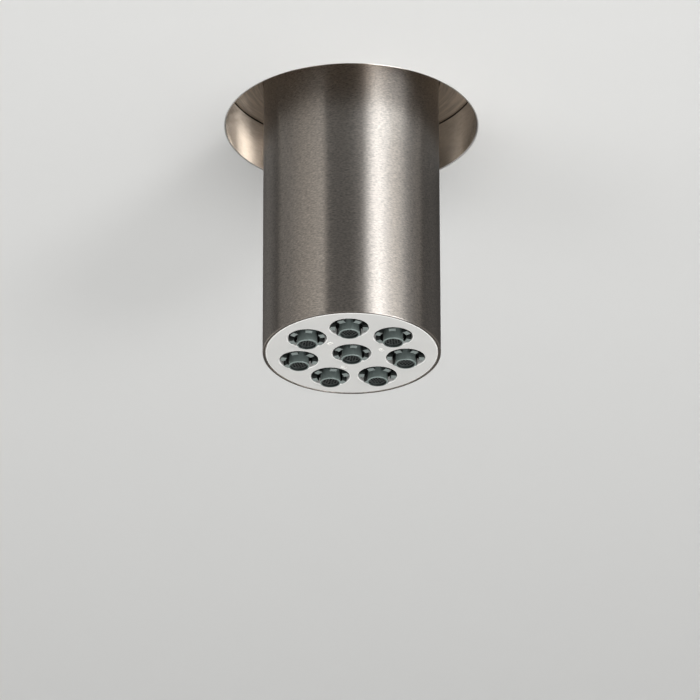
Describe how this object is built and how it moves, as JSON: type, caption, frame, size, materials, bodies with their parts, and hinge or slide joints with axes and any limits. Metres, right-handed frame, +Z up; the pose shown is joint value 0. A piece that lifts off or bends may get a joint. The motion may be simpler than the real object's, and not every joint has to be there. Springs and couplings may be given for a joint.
{
  "type": "ceiling shower head",
  "caption": "Round recessed ceiling shower head: a brushed steel cylinder slides down from a recess and carries castellated tilting jets in a pale face plate.",
  "frame": {"origin": "centre of the round ceiling opening, in the plane of the finished ceiling", "axes": "+Z up along the cylinder, into the ceiling; the picture looks along +Y from below, with +X to the right"},
  "size_m": [0.166, 0.166, 0.3162],
  "materials": {
    "body_steel": "satin, grain round the cylinder",
    "recess_steel": "satin, turned grain",
    "galvanised_steel": "galvanised, matte",
    "screw_steel": "plain zinc plated",
    "brass": "machined",
    "rubber": "matte black",
    "fibre": "matte red fibre",
    "bearing_plastic": "plain natural white",
    "plate_plastic": "matte light grey-white",
    "collar_plastic": "semi-gloss dark grey-green",
    "jet_plastic": "semi-gloss dark grey-green",
    "former_plastic": "black"
  },
  "bodies": {
    "housing": {"frame_flange": "galvanised_steel", "plaster_collar": "galvanised_steel", "trim_sleeve": "recess_steel", "sleeve_ring": "rubber", "recess_roof": "recess_steel", "casing": "galvanised_steel", "lower_flange": "galvanised_steel", "upper_flange": "galvanised_steel", "casing_screws": "screw_steel", "wiper_ring": "rubber", "guide_bush": "bearing_plastic", "stop_buffer": "rubber", "key_rail": "screw_steel", "top_cap": "galvanised_steel", "cap_screws": "screw_steel", "inlet_fitting": "brass", "inlet_gasket": "fibre", "inlet_nut": "brass", "filter_screen": "screw_steel", "flow_limiter": "former_plastic", "feed_pipe": "brass", "feed_pipe_seal": "rubber"},
    "head": {"body_tube": "body_steel", "piston": "bearing_plastic", "piston_ring": "rubber", "slide_pipe": "brass", "pipe_nut": "brass", "rod_guide": "bearing_plastic", "gland_seal": "rubber", "gland_screw": "brass", "chamber_lid": "brass", "chamber_seal": "rubber", "chamber_screws": "screw_steel", "nozzle_carrier": "brass", "face_plate": "plate_plastic", "nozzle_seals": "rubber", "nozzle_collar_1": "collar_plastic", "nozzle_collar_2": "collar_plastic", "nozzle_collar_3": "collar_plastic", "nozzle_collar_4": "collar_plastic", "nozzle_collar_5": "collar_plastic", "nozzle_collar_6": "collar_plastic", "nozzle_collar_7": "collar_plastic", "nozzle_collar_8": "collar_plastic"},
    "jet_1": {"jet_tube_1": "jet_plastic", "stream_former_1": "former_plastic"},
    "jet_2": {"jet_tube_2": "jet_plastic", "stream_former_2": "former_plastic"},
    "jet_3": {"jet_tube_3": "jet_plastic", "stream_former_3": "former_plastic"},
    "jet_4": {"jet_tube_4": "jet_plastic", "stream_former_4": "former_plastic"},
    "jet_5": {"jet_tube_5": "jet_plastic", "stream_former_5": "former_plastic"},
    "jet_6": {"jet_tube_6": "jet_plastic", "stream_former_6": "former_plastic"},
    "jet_7": {"jet_tube_7": "jet_plastic", "stream_former_7": "former_plastic"},
    "jet_8": {"jet_tube_8": "jet_plastic", "stream_former_8": "former_plastic"}
  },
  "joints": [
    {"name": "head_slide", "type": "slide", "parent": "housing", "child": "head", "axis": [0, 0, 1], "range_m": [0, 0.108]},
    {"name": "jet_tilt_1", "type": "hinge", "parent": "head", "child": "jet_1", "pos_m": [0, 0, -0.1005], "axis": [1, 0, 0], "range_deg": [-8, 8]},
    {"name": "jet_tilt_2", "type": "hinge", "parent": "head", "child": "jet_2", "pos_m": [0.02238, 0.00407, -0.1005], "axis": [0.1788, -0.9839, 0], "range_deg": [-8, 8]},
    {"name": "jet_tilt_3", "type": "hinge", "parent": "head", "child": "jet_3", "pos_m": [0.01078, 0.02004, -0.1005], "axis": [0.8807, -0.4736, 0], "range_deg": [-8, 8]},
    {"name": "jet_tilt_4", "type": "hinge", "parent": "head", "child": "jet_4", "pos_m": [-0.00895, 0.02092, -0.1005], "axis": [0.9194, 0.3933, 0], "range_deg": [-8, 8]},
    {"name": "jet_tilt_5", "type": "hinge", "parent": "head", "child": "jet_5", "pos_m": [-0.02193, 0.00605, -0.1005], "axis": [0.2658, 0.964, 0], "range_deg": [-8, 8]},
    {"name": "jet_tilt_6", "type": "hinge", "parent": "head", "child": "jet_6", "pos_m": [-0.0184, -0.01338, -0.1005], "axis": [-0.588, 0.8089, 0], "range_deg": [-8, 8]},
    {"name": "jet_tilt_7", "type": "hinge", "parent": "head", "child": "jet_7", "pos_m": [-0.00102, -0.02273, -0.1005], "axis": [-0.999, 0.0446, 0], "range_deg": [-8, 8]},
    {"name": "jet_tilt_8", "type": "hinge", "parent": "head", "child": "jet_8", "pos_m": [0.01714, -0.01496, -0.1005], "axis": [-0.6578, -0.7532, 0], "range_deg": [-8, 8]}
  ]
}
